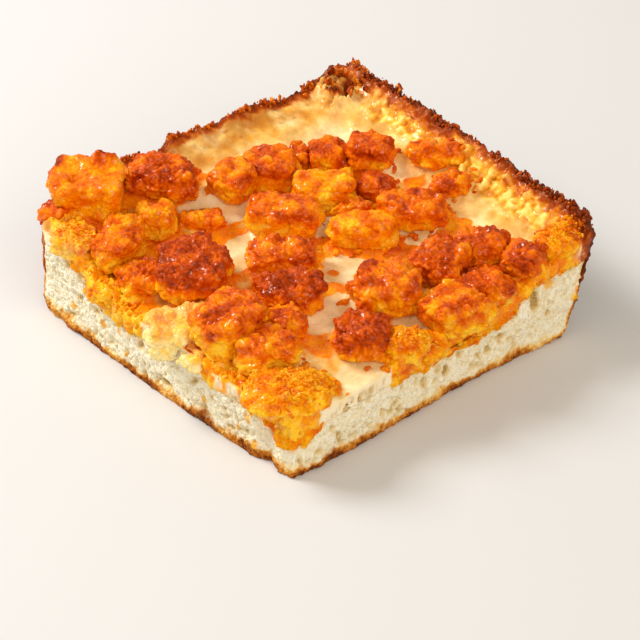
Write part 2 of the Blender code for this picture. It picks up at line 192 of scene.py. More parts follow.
def wall_gap(places):
    """How far each point is from the pan's left wall and from its back wall."""
    share = (np.clip(places[:, 2], 0.0, None) / LEAN_AT) ** LEAN_POWER
    from_left = places[:, 0] - LEFT_WALL + LEFT_LEAN * share
    skew = WALL_SKEW * (RIGHT_CUT - places[:, 0]) / (RIGHT_CUT - LEFT_WALL)
    from_back = BACK_WALL + skew + BACK_LEAN * share - places[:, 1]
    return from_left, from_back


def nearer_wall(from_left, from_back):
    """Distance from the nearer wall, round the pan's corner too."""
    in_corner = (from_left < CORNER_ROUND) & (from_back < CORNER_ROUND)
    round_gap = CORNER_ROUND - np.hypot(CORNER_ROUND - from_left, CORNER_ROUND - from_back)
    return np.where(in_corner, round_gap, np.minimum(from_left, from_back))


CRUMBLY = (            # where fine crumbs cover the cut edges: two ends, radius, how far it hangs
    ((-59.4, -50.0), (-51.6, -50.5), 3.0, 0.0), ((-51.6, -51.0), (-36.6, -55.0), 5.0, 1.0),
    ((-36.6, -55.0), (-10.0, -59.0), 4.5, 1.2), ((24.0, -57.0), (44.0, -56.5), 2.4, 0.2),
    ((47.0, -50.0), (59.0, -55.5), 6.8, 4.4), ((50.0, -48.0), (53.0, -42.0), 6.0, 0.0),
    ((58.0, -15.0), (61.0, -3.7), 5.5, 0.7), ((61.0, -3.7), (60.0, 16.0), 7.5, 2.2),
    ((60.0, 16.0), (55.0, 34.0), 6.0, 1.0), ((55.0, 34.0), (54.0, 52.0), 5.5, 0.6),
    ((54.0, 52.0), (53.0, 62.0), 4.5, 0.6),
)


def inside(places, start, end, radius):
    """How far inside a long patch each point is: in plan, or in space if the ends have a height."""
    start = np.array(start)
    along = np.array(end) - start
    offset = places[:, :len(start)] - start
    share = np.clip(offset @ along / max(along @ along, 1e-6), 0.0, 1.0)
    return radius - np.linalg.norm(offset - share[:, None] * along, axis=1)


def hanging(places):
    """How far down a cut face the crumbs hang at each point, below nought where there are none."""
    found = np.full(len(places), -9.0)
    for start, end, radius, depth in CRUMBLY:
        here = inside(places, start, end, radius)
        found = np.maximum(found, np.minimum(depth, depth * 0.5 + here))
    return found


def surface_of(pieces):
    """Something that finds the nearest point on several pieces at once, or what a ray meets."""
    points = []
    faces = []
    for piece in pieces:
        first = len(points)
        points += [v.co[:] for v in piece.data.vertices]
        faces += [[first + i for i in p.vertices] for p in piece.data.polygons]
    return BVHTree.FromPolygons(points, faces)


def gap_to(places, surface):
    """Distance from each point to a surface."""
    return np.array([surface.find_nearest(p)[3] for p in (places * MM).tolist()]) / MM


def breaded(places, seed):
    """Clumps and crumbs of breading at each point, each from 0 in a crease to 1 on a crown."""
    warp = drift(places, 2.3, (seed + 0.11, seed + 0.22, seed + 0.33))
    clumps = ramp(0.8 - beads(places + 1.3 * warp, CLUMP, seed), 0.0, 0.7)
    crumbs = ramp(0.75 - beads(places + 0.4 * warp, CRUMB, seed + 0.5), 0.0, 0.6)
    return clumps, crumbs


bread = joined_copy("dough", "bread")
rebuild(bread, BREAD_GRAIN, BREAD_ROUNDING)
places, facing = skin_points(bread)
on_left = ramp(-facing[:, 1], 0.55, 0.8)
on_right = ramp(facing[:, 0], 0.55, 0.8)
hidden = (np.abs(facing[:, 2]) > 0.8) & (on_left + on_right < 0.05)
thin_out(bread, hidden, BREAD_KEPT)

places, facing = skin_points(bread)
on_left = ramp(-facing[:, 1], 0.5, 0.85)
on_right = ramp(facing[:, 0], 0.5, 0.85)
cut = np.clip(on_left + on_right, 0.0, 1.0)
from_left, from_back = wall_gap(places)


def crumb_pores(places):
    """How deep the torn crumb is hollowed at each point: wide bubbles, and many small ones."""
    warped = places + 0.8 * drift(places, 1.9, (1, 2, 3))
    open_parts = 0.5 + swell(places, 7.0, 4)
    wide = ramp(0.6 - beads(warped, WIDE_PORE, 1, (1.0, 1.0, 1.3)), 0.0, 0.34)
    wide *= ramp(swell(places, 4.5, 5), 0.08, 0.4)
    small = ramp(0.62 - beads(warped, SMALL_PORE, 2, (1.0, 1.0, 1.6)), 0.0, 0.42)
    return wide + (TIGHT_DEPTH + OPEN_MORE * np.clip(open_parts, 0.0, 1.0)) * small


at_cut = np.nonzero(cut > 0.01)[0]
pores = np.zeros(len(places))
pores[at_cut] = crumb_pores(places[at_cut])
for side, along, height, length, breadth, depth in BIG_PORES:
    across = places[:, 0] - along if side == "left" else places[:, 1] - along
    here = on_left if side == "left" else on_right
    reach = np.sqrt((across / length) ** 2 + ((places[:, 2] - height) / breadth) ** 2)
    pores += here * depth * ramp(1.0 - reach + 0.25 * swell(places, 1.6, 6), 0.0, 0.7)
pores *= cut

# The crust: golden to dark brown, thicker and thinner along the lower edge
edge = np.maximum(UNDER_CRUST + bumps(places, CRUST_EDGE), CRUST_LEAST)
under = 1.0 - ramp(places[:, 2], 0.2 * edge, 2.8 * edge)
skin_gap = np.minimum(from_left, from_back) + 0.5 * swell(places, 2.2, 9)
at_wall = 1.0 - ramp(skin_gap, 0.4 * SKIN, 2.4 * SKIN)
crust = np.clip(np.maximum(under, at_wall), 0.0, 1.0)
crust = np.where(cut > 0.5, crust, 1.0)
pores *= 1.0 - 0.75 * crust

# Sauced crumbs that hang over the cut faces from the cheese above
cheese_solid = surface_of([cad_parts["cheese"]])
to_cheese = np.full(len(places), 9.0)
near_top = at_cut[places[at_cut, 2] > 7.0]
to_cheese[near_top] = gap_to(places[near_top], cheese_solid)
hung_to = hanging(places) - to_cheese
hung = cut * ramp(hung_to + 0.5 + bumps(places, HANGING_EDGE), -1.2, 1.5)
clumps = np.zeros(len(places))
crumbs = np.zeros(len(places))
clumps[near_top], crumbs[near_top] = breaded(places[near_top], 9)
pores *= 1.0 - hung

face_in = facing * (1.0, 1.0, 0.25)
face_in /= np.maximum(np.linalg.norm(face_in, axis=1, keepdims=True), 1e-6)
torn = bumps(places, TORN_FACE)
lip = crust * (0.1 + bumps(places, CRUST_LIP))
laid_on = hung * hung * (0.6 + 0.6 * clumps + 0.45 * crumbs)
tucked = TUCKED * (1.0 - ramp(to_cheese, 0.3, 1.7)) * (1.0 - hung)
baked = 0.25 * swell(places, 4.0, 14) - 0.35 * ramp(0.5 - beads(places, 2.1, 4), 0.0, 0.35)
resting = ramp(places[:, 2], 0.0, 0.8)
out = cut * (torn - pores + lip + laid_on - tucked) + (1.0 - cut) * baked * resting
places += face_in * out[:, None]
places[:, 2] += TOP_LIFT * ramp(facing[:, 2], 0.2, 0.8)
places[:, 2] = np.maximum(places[:, 2], 0.0)
move_skin(bread, places)

oil = np.zeros(len(places))
for side, along, height, width in OIL_SPOTS:
    across = places[:, 0] - along if side == "left" else places[:, 1] - along
    here = on_left if side == "left" else on_right
    reach = np.hypot(across, (places[:, 2] - height) / 1.3) / width + 0.5 * swell(places, 1.5, 15)
    oil = np.maximum(oil, here * (1.0 - ramp(reach, 0.4, 1.0)))
soaked = ramp(hanging(places) - to_cheese + 1.6 + bumps(places, SOAKED_EDGE), -0.5, 2.5)
oil = np.maximum(oil, 0.8 * cut * soaked)
# The pores' depth is kept for the finish, which paints shade into them
tell(bread, "pore", pores)
tell(bread, "crust", crust + 0.1 * (1.0 - cut) * ramp(places[:, 2], 3.0, 16.0))
tell(bread, "oil", oil)
tell(bread, "sauce", hung)
red = 0.3 * ramp(hung, 0.3, 1.0) + 0.16 * (0.5 - clumps) + 0.3 * swell(places, 5.0, 18)
tell(bread, "red", np.clip(red, 0.0, 1.0))


def new_finish(name):
    """A material, with the tree to build its pattern in and its shader."""
    made = bpy.data.materials.new(name)
    made.use_nodes = True
    return made, made.node_tree, made.node_tree.nodes["Principled BSDF"]


def fill(tree, socket, value):
    """Sets a socket, or links another to it."""
    if isinstance(value, bpy.types.NodeSocket):
        tree.links.new(value, socket)
    else:
        socket.default_value = value


def mark(tree, name):
    """The number that tell() stored under this name."""
    made = tree.nodes.new("ShaderNodeAttribute")
    made.attribute_name = name
    return made.outputs["Fac"]


def speckle(tree, scale, detail=3.0, roughness=0.55):
    """A soft pattern over the piece's own coordinates, 0 to 1, so many to the metre."""
    made = tree.nodes.new("ShaderNodeTexNoise")
    made.inputs["Scale"].default_value = scale
    made.inputs["Detail"].default_value = detail
    made.inputs["Roughness"].default_value = roughness
    tree.links.new(tree.nodes.new("ShaderNodeTexCoord").outputs["Object"], made.inputs["Vector"])
    return made.outputs["Fac"]


def grit(tree, scale):
    """Packed small grains over the piece's own coordinates, so many to the metre."""
    made = tree.nodes.new("ShaderNodeTexVoronoi")
    made.inputs["Scale"].default_value = scale
    tree.links.new(tree.nodes.new("ShaderNodeTexCoord").outputs["Object"], made.inputs["Vector"])
    return made.outputs["Distance"]


def work(tree, kind, first, second, third=0.0):
    """Arithmetic on two or three values."""
    made = tree.nodes.new("ShaderNodeMath")
    made.operation = kind
    for socket, value in zip(made.inputs, (first, second, third)):
        fill(tree, socket, value)
    return made.outputs[0]


def seen(colour):
    """The light value of a colour given as a screen shows it, 0 to 255."""
    parts = [c / 255.0 for c in colour]
    return (*[c / 12.92 if c < 0.04045 else ((c + 0.055) / 1.055) ** 2.4 for c in parts], 1.0)


def shades(tree, value, *stops):
    """Colours along a value: pairs of a place from 0 to 1 and a colour."""
    made = tree.nodes.new("ShaderNodeValToRGB")
    tree.links.new(value, made.inputs["Fac"])
    while len(made.color_ramp.elements) < len(stops):
        made.color_ramp.elements.new(1.0)
    for element, (place, colour) in zip(made.color_ramp.elements, stops):
        element.position = place
        element.color = seen(colour)
    return made.outputs["Color"]


def share_of(tree, value, low, high):
    """Runs from 0 at low to 1 at high."""
    made = tree.nodes.new("ShaderNodeMapRange")
    made.interpolation_type = "SMOOTHSTEP"
    fill(tree, made.inputs["Value"], value)
    made.inputs["From Min"].default_value = low
    made.inputs["From Max"].default_value = high
    return made.outputs["Result"]


def over(tree, share, first, second, kind="MIX"):
    """One colour over another."""
    made = tree.nodes.new("ShaderNodeMix")
    made.data_type = "RGBA"
    made.blend_type = kind
    fill(tree, made.inputs["Factor"], share)
    fill(tree, made.inputs[6], first)
    fill(tree, made.inputs[7], second)
    return made.outputs[2]


def relief(tree, shader, height, depth, strength):
    """Fine relief this deep, in metres."""
    made = tree.nodes.new("ShaderNodeBump")
    made.inputs["Strength"].default_value = strength
    made.inputs["Distance"].default_value = depth
    tree.links.new(height, made.inputs["Height"])
    tree.links.new(made.outputs["Normal"], shader.inputs["Normal"])


def glow_through(shader, share, radius):
    """Lets a little light through, as moist food does."""
    shader.inputs["Subsurface Weight"].default_value = share
    shader.inputs["Subsurface Radius"].default_value = radius
    shader.inputs["Subsurface Scale"].default_value = 1.0


def oiled(shader, level, tint):
    """How strongly the surface mirrors, and the warm colour that oil gives it."""
    shader.inputs["Specular IOR Level"].default_value = level
    shader.inputs["Specular Tint"].default_value = seen(tint)


def new_effect(name, reads, gives, kind):
    """A node group that several finishes use, with one number going in."""
    made = bpy.data.node_groups.new(name, "ShaderNodeTree")
    made.interface.new_socket(name=reads, in_out="INPUT", socket_type="NodeSocketFloat")
    made.interface.new_socket(name=gives, in_out="OUTPUT", socket_type=kind)
    inward = made.nodes.new("NodeGroupInput")
    outward = made.nodes.new("NodeGroupOutput")
    return made, inward.outputs[reads], outward.inputs[gives]


def place_effect(tree, effect, value):
    """Puts a node group in a finish and gives its result."""
    made = tree.nodes.new("ShaderNodeGroup")
    made.node_tree = effect
    fill(tree, made.inputs[0], value)
    return made.outputs[0]


baking, amount, baked_colour = new_effect("baked_brown", "Baked", "Colour", "NodeSocketColor")
uneven = work(baking, "MULTIPLY_ADD", speckle(baking, 800.0, 5.0, 0.75), 1.7, -0.85)
patches = work(baking, "MULTIPLY_ADD", speckle(baking, 90.0, 2.0), 1.9, -0.95)
browned = work(baking, "MULTIPLY_ADD", amount, 0.78, work(baking, "ADD", uneven, patches))
baking.links.new(shades(
    baking, browned, (0.08, (250, 224, 164)), (0.30, (236, 182, 92)), (0.55, (208, 132, 44)),
    (0.78, (164, 88, 24)), (1.0, (104, 46, 10))), baked_colour)

saucing, redness, sauce_colour = new_effect("buffalo_sauce", "Redness", "Colour", "NodeSocketColor")
patches = work(saucing, "MULTIPLY_ADD", speckle(saucing, 230.0, 2.0, 0.5), 0.8, -0.4)
fine = work(saucing, "MULTIPLY_ADD", speckle(saucing, 1300.0, 2.0, 0.6), 0.3, -0.15)
recesses = work(saucing, "MULTIPLY_ADD", grit(saucing, 900.0), 0.22, -0.12)
fine = work(saucing, "ADD", fine, recesses)
red = work(saucing, "ADD", redness, work(saucing, "ADD", patches, fine))
saucing.links.new(shades(
    saucing, red, (0.0, (255, 196, 40)), (0.16, (250, 166, 4)), (0.36, (242, 134, 0)),
    (0.56, (228, 102, 0)), (0.74, (202, 74, 0)), (0.9, (172, 52, 0)), (1.0, (136, 36, 0))),
    sauce_colour)

wetness, wet_base, wet_roughness = new_effect("wet_speckle", "Roughness", "Roughness", "NodeSocketFloat")
beaded = share_of(wetness, speckle(wetness, 900.0, 2.0), 0.4, 0.56)
wetness.links.new(work(wetness, "MULTIPLY_ADD", beaded, 0.36, wet_base), wet_roughness)

shining, gloss, gloss_mask = new_effect("wet_points", "Gloss", "Gloss", "NodeSocketFloat")
points = share_of(shining, speckle(shining, 700.0, 3.0, 0.6), 0.53, 0.61)
shining.links.new(work(shining, "MULTIPLY", points, gloss), gloss_mask)

bread_finish, tree, shader = new_finish("airy_bread")
cloud = speckle(tree, 320.0, 4.0)
crumb = shades(tree, cloud, (0.3, (242, 230, 194)), (0.7, (255, 249, 230)))
# Painted shade: the crumb is darkened the deeper its pores are, with a random tone mixed in
painted_pore_shade = work(tree, "MULTIPLY_ADD", mark(tree, "pore"), 0.7, work(tree, "MULTIPLY_ADD", cloud, 0.5, -0.25))
deep = shades(tree, painted_pore_shade, (0.1, (255, 255, 255)), (0.6, (238, 222, 186)), (1.0, (200, 172, 120)))
crumb = over(tree, 1.0, crumb, deep, "MULTIPLY")
# Painted shade: small darker spots stand for the shade inside the crumb's tiniest pores
painted_tiny_pore_shade = share_of(tree, work(tree, "MULTIPLY_ADD", speckle(tree, 700.0), 0.6, grit(tree, 1250.0)), 0.62, 0.4)
crumb = over(tree, painted_tiny_pore_shade, crumb, shades(tree, cloud, (0.3, (212, 182, 126)), (0.7, (244, 222, 172))))
baked = place_effect(tree, baking, mark(tree, "crust"))
colour = over(tree, share_of(tree, mark(tree, "crust"), 0.02, 0.5), crumb, baked)
colour = over(tree, work(tree, "MULTIPLY", mark(tree, "oil"), 0.85), colour, seen((248, 178, 40)))
sauced = place_effect(tree, saucing, mark(tree, "red"))
soaked = work(tree, "MULTIPLY_ADD", speckle(tree, 1100.0), 0.6, work(tree, "ADD", mark(tree, "sauce"), -0.3))
colour = over(tree, share_of(tree, soaked, 0.15, 0.8), colour, sauced)
tree.links.new(colour, shader.inputs["Base Color"])
rough = work(tree, "ADD", grit(tree, 1250.0), speckle(tree, 1500.0, 4.0))
relief(tree, shader, rough, depth=0.0005, strength=0.85)
shader.inputs["Roughness"].default_value = 0.75
oiled(shader, level=0.2, tint=(255, 225, 170))
glow_through(shader, share=0.15, radius=(0.0015, 0.0011, 0.0007))
bread.data.materials.append(bread_finish)
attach(bread, "root")
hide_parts("dough")


# Chicken
# Cubes and torn shreds of breaded chicken tossed in buffalo sauce, laid on the cheese and baked
# in. Most are craggy with crumbs, with yellow sides where the sauce ran off and redder tops.
CHICKEN_GRAIN = 0.42
CHICKEN_ROUNDING = 2
FULLER = 0.6           # how far the breading stands out from the solids
BLOCK = 4.6            # width of the torn blocks that a piece is made of
BLOCK_RISE = 1.5       # how far they stand out or in, where a piece is torn all over
CRACK_DEPTH = 0.6      # and how deep the cracks between them are there
CLUMP_RISE = 0.6       # height of the breading's clumps and of its crumbs
CRUMB_RISE = 0.65
FIBRE_RISE = 0.45      # height of the meat's fibres where there is no breading
REDDEST = 0.86         # the most redness that the sauce has where it isn't burnt
CHICKEN = {            # crumbly, redness on top and at the foot, paleness, how torn
    "corner_cube": (0.5, 0.38, 0.2, 0.0, 0.1), "corner_scrap": (0.8, 0.7, 0.5, 0.0, 0.8),
    "left_crumbly": (0.9, 0.14, 0.02, 0.2, 0.6), "left_long": (0.5, 0.5, 0.02, 0.0, 0.6),
    "left_rugged": (0.5, 0.36, 0.12, 0.0, 0.8), "back_left_red": (0.85, 0.66, 0.3, 0.0, 0.8),
    "left_low": (0.8, 0.5, 0.06, 0.0, 0.8), "left_big": (0.9, 0.9, 0.1, 0.0, 0.6),
    "front_left_pale": (0.6, 0.16, 0.0, 1.0, 0.8), "front_left_chip": (0.3, 0.12, 0.0, 1.0, 0.8),
    "front_round": (0.75, 0.58, -0.08, 0.0, 0.35), "front_inner": (0.7, 0.52, -0.06, 0.0, 0.7),
    "front_small": (0.6, 0.56, 0.25, 0.0, 0.7), "corner_drape": (0.55, 0.24, 0.06, 0.0, 0.3),
    "back_left_block": (0.5, 0.55, 0.25, 0.0, 0.6), "back_block": (0.35, 0.6, 0.12, 0.0, 0.45),
    "back_chip": (0.5, 0.6, 0.4, 0.0, 0.7), "back_wide_left": (0.35, 0.62, 0.2, 0.0, 0.5),
    "back_wide_right": (0.35, 0.66, 0.3, 0.0, 0.5), "back_yellow": (0.35, 0.28, 0.14, 0.0, 0.45),
    "back_red": (0.5, 0.7, 0.5, 0.0, 0.7), "middle_left": (0.35, 0.56, 0.06, 0.0, 0.45),
    "middle_slip": (0.3, 0.4, 0.3, 0.0, 0.7), "middle_chip": (0.5, 0.34, 0.2, 0.0, 0.8),
    "middle_long": (0.35, 0.34, 0.04, 0.0, 0.4), "middle_far": (0.35, 0.58, 0.18, 0.0, 0.45),
    "middle_low": (0.85, 0.7, 0.1, 0.0, 0.7), "middle_front": (0.95, 0.92, 0.24, 0.0, 0.75),
    "right_block": (0.7, 0.58, 0.26, 0.0, 0.6), "right_front": (0.9, 0.9, 0.35, 0.0, 0.75),
    "right_edge_small": (0.9, 0.3, 0.06, 0.0, 0.7), "right_edge_long": (0.85, 0.42, 0.06, 0.0, 0.5),
    "right_edge_mid": (0.8, 0.64, 0.1, 0.0, 0.7), "right_red": (0.6, 0.72, 0.45, 0.0, 0.7),
    "right_end": (0.7, 0.34, 0.14, 0.0, 0.7), "right_back_big": (0.7, 0.7, 0.35, 0.0, 0.7),
    "right_back_small": (0.8, 0.7, 0.35, 0.0, 0.7), "rim_orange": (0.6, 0.48, 0.22, 0.0, 0.7),
    "right_edge_drape": (0.9, 0.3, 0.1, 0.0, 0.7), "left_edge_drape": (0.9, 0.14, 0.0, 0.0, 0.8),
    "rim_streaked": (0.4, 0.54, 0.4, 0.0, 0.8),
}

SQUARE = {             # the pieces that were cut as cubes, and how far each is squared
    "corner_cube": 0.65, "back_left_block": 0.15, "back_block": 0.3, "back_wide_left": 0.2,
    "back_wide_right": 0.25, "front_left_pale": 0.5, "right_block": 0.1, "back_yellow": 0.3,
    "middle_left": 0.2, "middle_long": 0.3, "middle_far": 0.15, "front_inner": 0.1,
    "left_long": 0.35,
}

MARKS = {              # burnt or drawn-out spots: two ends, reach, how far it rises, redness
    "corner_cube": (
        ((-66.0, -41.4, 40.0), (-60.5, -48.5, 38.0), 4.2, 0.6, 1.0),
        ((-57.4, -33.4, 40.5), (-54.0, -30.6, 39.5), 2.9, 3.4, 0.95)),
}

chicken_finish, tree, shader = new_finish("sauced_chicken")
sauced = place_effect(tree, saucing, mark(tree, "red"))
meat = shades(tree, speckle(tree, 500.0), (0.3, (255, 216, 96)), (0.7, (255, 246, 196)))
tree.links.new(over(tree, mark(tree, "pale"), sauced, meat), shader.inputs["Base Color"])
tree.links.new(place_effect(tree, wetness, 0.2), shader.inputs["Roughness"])
crumbed = work(tree, "SUBTRACT", work(tree, "MULTIPLY", speckle(tree, 2200.0, 2.0), 0.6), grit(tree, 900.0))
relief(tree, shader, crumbed, depth=0.0006, strength=0.6)
oiled(shader, level=0.36, tint=(255, 190, 104))
tree.links.new(place_effect(tree, shining, 1.0), shader.inputs["Coat Weight"])
shader.inputs["Coat Roughness"].default_value = 0.1
glow_through(shader, share=0.12, radius=(0.0010, 0.0006, 0.0002))


def scattered(points, seed):
    """A steady number between -1 and 1 for each point."""
    return np.sin(points @ (12.9898, 78.233, 37.719) + seed * 7.31) * 43758.5453 % 2.0 - 1.0


def blocks(places, size, seed):
    """Torn blocks, each with its own height and slope, and how near each point is to a crack."""
    warp = drift(places, 0.5 * size, (seed + 0.4, seed + 0.5, seed + 0.6))
    at = (places + 0.22 * size * warp) / size + (5.3 * seed, 2.1 * seed, -3.7 * seed)
    found = [noise.voronoi(p) for p in at.tolist()]
    gaps = np.array([f[0][1] - f[0][0] for f in found])
    level = np.zeros(len(places))
    sharing = 0.5 + 0.5 * ramp(gaps, 0.0, 0.16)
    for rank, part in ((0, sharing), (1, 1.0 - sharing)):
        middle = np.array([f[1][rank][:] for f in found])
        own = scattered(middle, 1.0)
        slope = np.stack([scattered(middle, 2.0 + n) for n in range(3)], 1)
        level += part * (0.65 * own + 0.9 * ((at - middle) * slope).sum(1))
    return level, 1.0 - ramp(gaps, 0.0, 0.14)


def squared(places, amount):
    """Moves a rounded piece's points towards the block that holds it."""
    middle = (places.max(0) + places.min(0)) / 2.0
    around = places - middle
    turns = np.radians(np.arange(0.0, 90.0, 5.0))
    ways = [np.array([[math.cos(t), math.sin(t)], [-math.sin(t), math.cos(t)]]) for t in turns]
    way = min(ways, key=lambda w: np.prod(np.ptp(around[:, :2] @ w.T, axis=0)))
    turned = np.column_stack([around[:, :2] @ way.T, around[:, 2]])
    shares = turned / (np.ptp(turned, axis=0) / 2.0)
    stretch = np.linalg.norm(shares, axis=1) / np.maximum(np.abs(shares).max(1), 0.1)
    return middle + around * (stretch ** amount)[:, None]


chunks = []
for number, (name, (crumbly, red_top, red_foot, pale, torn)) in enumerate(CHICKEN.items()):
    chunk = joined_copy("chicken_" + name, "chunk_" + name)
    rebuild(chunk, CHICKEN_GRAIN, CHICKEN_ROUNDING)
    places, facing = skin_points(chunk)
    if name in SQUARE:
        move_skin(chunk, squared(places, SQUARE[name]))
        places, facing = skin_points(chunk)
    low = places[:, 2].min()
    high = places[:, 2].max()
    seed = 20 + number
    clumps, crumbs = breaded(places, seed)
    block, cracks = blocks(places, BLOCK, seed)
    level = places[:, :2] - places[:, :2].mean(0)
    grain_way = np.linalg.eigh(np.cov(level.T))[1][:, 1]
    along = level @ grain_way
    fibres = np.stack([along, level @ (-grain_way[1], grain_way[0]), places[:, 2]], 1)
    rise = FULLER + torn * (BLOCK_RISE * block - CRACK_DEPTH * cracks)
    rise += 0.6 * swell(places, 2.9, seed + 0.9)
    rise += crumbly * (CLUMP_RISE * (clumps - 0.5) + CRUMB_RISE * (crumbs - 0.5))
    fibrous = FIBRE_RISE * swell(fibres, 1.6, seed, (5.0, 1.0, 1.0))
    rise += (1.0 - crumbly) * (fibrous + 0.15 * (crumbs - 0.5))
    rise *= 1.0 - 0.8 * ramp(-facing[:, 2], 0.3, 0.8)
    places += facing * rise[:, None]
    move_skin(chunk, places)
    share = (places[:, 2] - low) / (high - low) + 0.22 * swell(places, 4.0, seed + 0.2)
    red = red_foot + (red_top - red_foot) * ramp(share, 0.25, 0.85)
    red += 0.08 * (0.55 - clumps) + 0.10 * (0.5 - crumbs) + 0.06 * cracks - 0.08 * torn * block
    red += 0.42 * swell(places, 4.6, seed + 0.4)
    red = np.clip(red, 0.0, REDDEST)
    for start, end, reach, lift, redder in MARKS.get(name, ()):
        depth = inside(places, start, end, reach) + 0.6 * swell(places, 1.5, seed + 0.8)
        here = ramp(depth, 0.0, 0.8 * reach)
        places[:, 2] += lift * here
        red = np.maximum(red, redder * here)
    move_skin(chunk, places)
    tell(chunk, "red", red)
    bared = pale * (1.0 - 0.75 * ramp(share, 0.55, 1.0)) * (1.0 + 0.7 * swell(places, 3.0, seed + 0.6))
    tell(chunk, "pale", np.clip(bared, 0.0, 1.0))
    chunk.data.materials.append(chicken_finish)
    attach(chunk, "root")
    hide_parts("chicken_" + name)
    chunks.append(chunk)


# Cheese
# One layer of melted brick cheese over the bread, slumped between the chicken and over the cut
# edges. Sauce ran over it, and where it met the hot pan it fried to a bubbly, dark, toothed rim.
CHEESE_GRAIN = 0.55
CHEESE_ROUNDING = 7
CHEESE_KEPT = 0.37
BACK_CREST = 2.2       # how much further the rim's crest stands from the back wall than the left
BARE = (               # where cheese shows through the sauce: two ends of a patch and its radius
    ((-43.6, -15.2), (-41.2, -12.5), 2.4), ((-32.2, -16.1), (-28.8, -4.1), 3.6),
    ((-9.8, -22.5), (-13.0, -12.7), 3.4), ((12.0, -7.0), (19.4, 10.8), 4.0),
    ((28.0, -25.6), (30.4, -7.6), 4.6), ((-12.4, 42.6), (-5.7, 55.4), 5.0),
    ((14.3, 17.8), (18.7, 27.5), 3.4), ((39.1, 11.6), (39.8, 17.7), 3.2),
    ((50.1, -6.3), (45.1, 4.6), 3.6), ((62.0, -46.0), (57.5, -25.0), 6.8),
    ((9.8, 49.8), (45.0, 53.6), 7.5), ((-15.4, 16.9), (-2.9, 9.2), 2.6),
    ((-34.1, 21.2), (-28.4, 21.1), 2.4), ((40.0, 34.4), (42.7, 37.5), 1.8),
    ((-50.1, -0.4), (-52.5, 12.0), 4.0), ((-46.0, 8.0), (-42.0, 30.0), 7.0),
    ((-42.0, 30.0), (-28.0, 52.0), 7.5), ((-40.0, 46.0), (-14.0, 56.0), 6.5),
)
STREAKS = (            # sauce that ran over those patches
    ((-26.9, -21.3), (-18.7, -8.7), 1.3), ((-4.6, -31.4), (1.2, -24.0), 1.3),
    ((1.2, 5.2), (22.3, 22.1), 2.6), ((4.6, 4.6), (23.6, 16.4), 2.8),
    ((-24.0, -16.6), (-14.0, -26.0), 2.2), ((16.6, -11.1), (25.1, -6.0), 1.8),
    ((15.3, -4.0), (15.5, -3.8), 1.6), ((60.2, -36.8), (60.2, -36.8), 1.6),
)
CORNER_MOUND = (-48.4, 53.6)  # where the rim is heaped up in the pan's corner
MOUND_WIDTH = 8.6
CRAG_RISE = 3.6        # height of the mound's crags
CUT_BAND = 7.0         # how far in from a cut its side faces are looked for, with a soft end
CUT_FADE = 3.0
SAUCED_FROM = 11.0     # how far from the walls the sauced middle begins
SAUCE_RISE = 0.22      # thickness of the sauce, and of the mat of crumbs over the cut edges
MAT_RISE = 0.6
BLISTER = 3.2          # width of the fried blisters by the rim, and of the small ones on them
SMALL_BLISTER = 1.5
BLISTER_RISE = 1.7     # and how high each kind stands
SMALL_RISE = 0.8
FILLET = 1.5           # how far the cheese climbs the foot of each piece
FOOT_DROP = 1.3        # how far the layer's lower edge sinks onto the bread
PATCH_EDGE = ((1.4, 4.5, 4), (0.7, 1.8, 5))
CHEESE_TOP = ((0.5, 9.0, 8), (0.4, 4.0, 9), (0.15, 1.6, 10))
WALL_PATCHES = ((1.7, 12.0, 19), (1.4, 4.0, 28))
TOASTED_PATCHES = ((0.9, 4.0, 17), (0.5, 1.7, 18))


def deepest(places, patches):
    """How far inside the nearest of several patches each point is."""
    return np.max([inside(places, *patch[:3]) for patch in patches], axis=0)


cheese = joined_copy("cheese", "melted_cheese")
rebuild(cheese, CHEESE_GRAIN, CHEESE_ROUNDING)
places, facing = skin_points(cheese)
from_left, from_back = wall_gap(places)
deep = (facing[:, 2] < -0.6) & (np.minimum(from_left, from_back) > 2.5)
thin_out(cheese, deep, CHEESE_KEPT)

places, facing = skin_points(cheese)
from_left, from_back = wall_gap(places)
near_wall = nearer_wall(from_left, from_back)
up = ramp(facing[:, 2], 0.1, 0.6)
to_chicken = gap_to(places, surface_of(chunks))
left_side = ramp(-facing[:, 1], 0.45, 0.8)
left_side *= 1.0 - ramp(places[:, 1] - LEFT_CUT, CUT_BAND, CUT_BAND + CUT_FADE)
right_side = ramp(facing[:, 0], 0.45, 0.8)
right_side *= 1.0 - ramp(RIGHT_CUT - places[:, 0], CUT_BAND - CUT_FADE, CUT_BAND)
cut_side = np.maximum(left_side, right_side) * ramp(near_wall, 1.0, 3.0)

# Where sauce, crumbs and fried blisters are
wobble = bumps(places, PATCH_EDGE)
mat = ramp(deepest(places, CRUMBLY) + wobble, -1.2, 1.2)
sauced_to = SAUCED_FROM + 2.0 * swell(places, 9.0, 3)
inner = ramp(near_wall, sauced_to - 2.5, sauced_to + 1.0)
bare = ramp(deepest(places, BARE) + 2.6 + wobble, -0.6, 0.8) * (1.0 - mat)
run = ramp(deepest(places, STREAKS) + 0.5 * swell(places, 2.0, 6), -0.5, 0.6)
by_chicken = 1.0 - ramp(to_chicken + 0.8 * swell(places, 1.8, 7), 0.0, 0.8)
thin = 0.25 + 0.75 * ramp(swell(places, 8.0, 24), -0.25, 0.15)
sauce = np.maximum.reduce([inner * (1.0 - bare) * thin, run, by_chicken * (0.35 + 0.65 * inner)])
sauce *= 1.0 - cut_side
bubbly = ramp(from_back, 2.2, 4.2) * (1.0 - ramp(from_back + 1.2 * wobble, 9.0, 12.0)) * up
bubbly *= ramp(places[:, 0], -46.0, -26.0)
crest_gap = nearer_wall(from_left, from_back - BACK_CREST) + 0.7 * swell(places, 2.4, 16)
outside = 1.0 - ramp(crest_gap, 1.0, 2.8)
crest = outside * up

